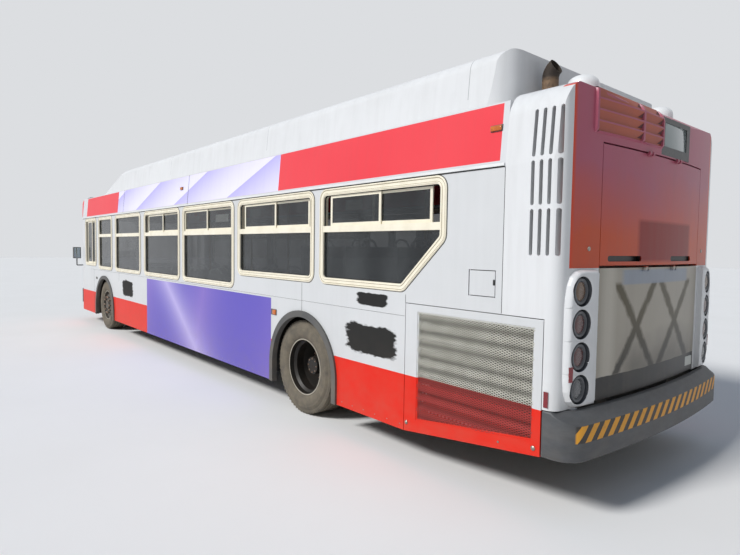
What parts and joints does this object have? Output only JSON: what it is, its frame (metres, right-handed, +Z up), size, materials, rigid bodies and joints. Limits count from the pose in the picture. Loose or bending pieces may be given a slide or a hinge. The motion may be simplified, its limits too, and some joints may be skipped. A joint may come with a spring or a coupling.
{
  "type": "city bus",
  "caption": "Low-floor city bus with hollow saloon, opening passenger doors and service doors, steered front wheels and twin rear wheels.",
  "frame": {"origin": "centre of the bounding box at ground level", "axes": "+X forward, +Y to the bus's left, +Z up"},
  "size_m": [12.7698, 2.91, 3.19],
  "materials": {
    "body_paint": "satin, weathered",
    "black_frame": "satin",
    "window_frame": "satin paint",
    "glass": "tinted",
    "lens": "glossy",
    "headlamp": "clear",
    "bumper": "matt",
    "mesh": "expanded metal",
    "louvre": "dusty",
    "steel": "matt black",
    "engine_metal": "cast",
    "floor_cover": "vinyl",
    "seat": "moulded",
    "pole": "gloss",
    "wheel_black": "satin",
    "dome": "white",
    "exhaust": "rusty",
    "tyre": "dusty",
    "rim": "dusty"
  },
  "bodies": {
    "bus_body": {"left_wall": "body_paint", "right_wall": "body_paint", "cove_panels": "body_paint", "roof": "body_paint", "roof_fairing": "body_paint", "rear_cap": "body_paint", "rear_corners": "body_paint", "front_mask": "body_paint", "mirrors": "black_frame", "destination_signs": "black_frame", "window_frames": "window_frame", "window_sashes": "window_frame", "window_glass": "glass", "windscreen": "glass", "tail_lamps": "lens", "headlamps": "headlamp", "front_bumper": "bumper", "rear_bumper": "bumper", "arch_rubbers": "bumper", "radiator": "louvre", "underframe": "steel", "front_axle": "steel", "rear_axle": "steel", "wheelhouses": "steel", "bulkhead": "steel", "tow_eyes": "steel", "engine": "engine_metal", "floor": "floor_cover", "dashboard": "floor_cover", "seat_cushions": "seat", "seat_backs": "seat", "stanchions": "pole", "steering_wheel": "wheel_black", "roof_domes": "dome", "exhaust_stack": "exhaust"},
    "steer_left": {"knuckle_left": "steel"},
    "steer_right": {"knuckle_right": "steel"},
    "wheel_front_left": {"tyre_front_left": "tyre", "rim_front_left": "rim"},
    "wheel_front_right": {"tyre_front_right": "tyre", "rim_front_right": "rim"},
    "wheels_rear_left": {"tyres_rear_left": "tyre", "rims_rear_left": "rim"},
    "wheels_rear_right": {"tyres_rear_right": "tyre", "rims_rear_right": "rim"},
    "engine_lid": {"engine_door": "body_paint"},
    "upper_lid": {"upper_door": "body_paint"},
    "radiator_lid": {"radiator_door": "body_paint", "radiator_mesh": "mesh", "radiator_louvres": "louvre"},
    "filler_lid": {"hatch": "body_paint"},
    "front_door_fore_leaf": {"front_door_fore": "black_frame", "front_door_fore_glass": "glass"},
    "front_door_aft_leaf": {"front_door_aft": "black_frame", "front_door_aft_glass": "glass"},
    "rear_door_fore_leaf": {"rear_door_fore": "black_frame", "rear_door_fore_glass": "glass"},
    "rear_door_aft_leaf": {"rear_door_aft": "black_frame", "rear_door_aft_glass": "glass"}
  },
  "joints": [
    {"name": "steering_left", "type": "hinge", "parent": "bus_body", "child": "steer_left", "pos_m": [4.236, 0.985, 0.499], "axis": [0, 0, 1], "range_deg": [-40, 40]},
    {"name": "steering_right", "type": "hinge", "parent": "bus_body", "child": "steer_right", "pos_m": [4.236, -0.985, 0.499], "axis": [0, 0, 1], "range_deg": [-40, 40]},
    {"name": "wheel_spin_front_left", "type": "hinge", "parent": "steer_left", "child": "wheel_front_left", "pos_m": [4.236, 1.1095, 0.499], "axis": [0, 1, 0], "continuous": true},
    {"name": "wheel_spin_front_right", "type": "hinge", "parent": "steer_right", "child": "wheel_front_right", "pos_m": [4.236, -1.1095, 0.499], "axis": [0, 1, 0], "continuous": true},
    {"name": "wheel_spin_rear_left", "type": "hinge", "parent": "bus_body", "child": "wheels_rear_left", "pos_m": [-3.204, 0.937, 0.499], "axis": [0, 1, 0], "continuous": true},
    {"name": "wheel_spin_rear_right", "type": "hinge", "parent": "bus_body", "child": "wheels_rear_right", "pos_m": [-3.204, -0.937, 0.499], "axis": [0, 1, 0], "continuous": true},
    {"name": "engine_door_hinge", "type": "hinge", "parent": "bus_body", "child": "engine_lid", "pos_m": [-6.273, 0, 1.647], "axis": [0, 1, 0], "range_deg": [0, 80]},
    {"name": "upper_door_hinge", "type": "hinge", "parent": "bus_body", "child": "upper_lid", "pos_m": [-6.273, 0, 2.494], "axis": [0, 1, 0], "range_deg": [0, 80]},
    {"name": "radiator_door_hinge", "type": "hinge", "parent": "bus_body", "child": "radiator_lid", "pos_m": [-5.44, 1.29, 1.314], "axis": [1, 0, 0], "range_deg": [0, 85]},
    {"name": "filler_hatch_hinge", "type": "hinge", "parent": "bus_body", "child": "filler_lid", "pos_m": [-5.463, 1.29, 1.5295], "axis": [0, 0, -1], "range_deg": [0, 100]},
    {"name": "front_door_fore_hinge", "type": "hinge", "parent": "bus_body", "child": "front_door_fore_leaf", "pos_m": [5.9005, -1.265, 1.295], "axis": [0, 0, 1], "range_deg": [0, 85]},
    {"name": "front_door_aft_hinge", "type": "hinge", "parent": "bus_body", "child": "front_door_aft_leaf", "pos_m": [5.0095, -1.265, 1.295], "axis": [0, 0, -1], "range_deg": [0, 85]},
    {"name": "rear_door_fore_hinge", "type": "hinge", "parent": "bus_body", "child": "rear_door_fore_leaf", "pos_m": [-1.2345, -1.265, 1.295], "axis": [0, 0, 1], "range_deg": [0, 85]},
    {"name": "rear_door_aft_hinge", "type": "hinge", "parent": "bus_body", "child": "rear_door_aft_leaf", "pos_m": [-2.4255, -1.265, 1.295], "axis": [0, 0, -1], "range_deg": [0, 85]}
  ],
  "couplings": [
    {"joint": "steering_right", "follows": "steering_left", "ratio": 1},
    {"joint": "front_door_aft_hinge", "follows": "front_door_fore_hinge", "ratio": 1},
    {"joint": "rear_door_aft_hinge", "follows": "rear_door_fore_hinge", "ratio": 1}
  ]
}
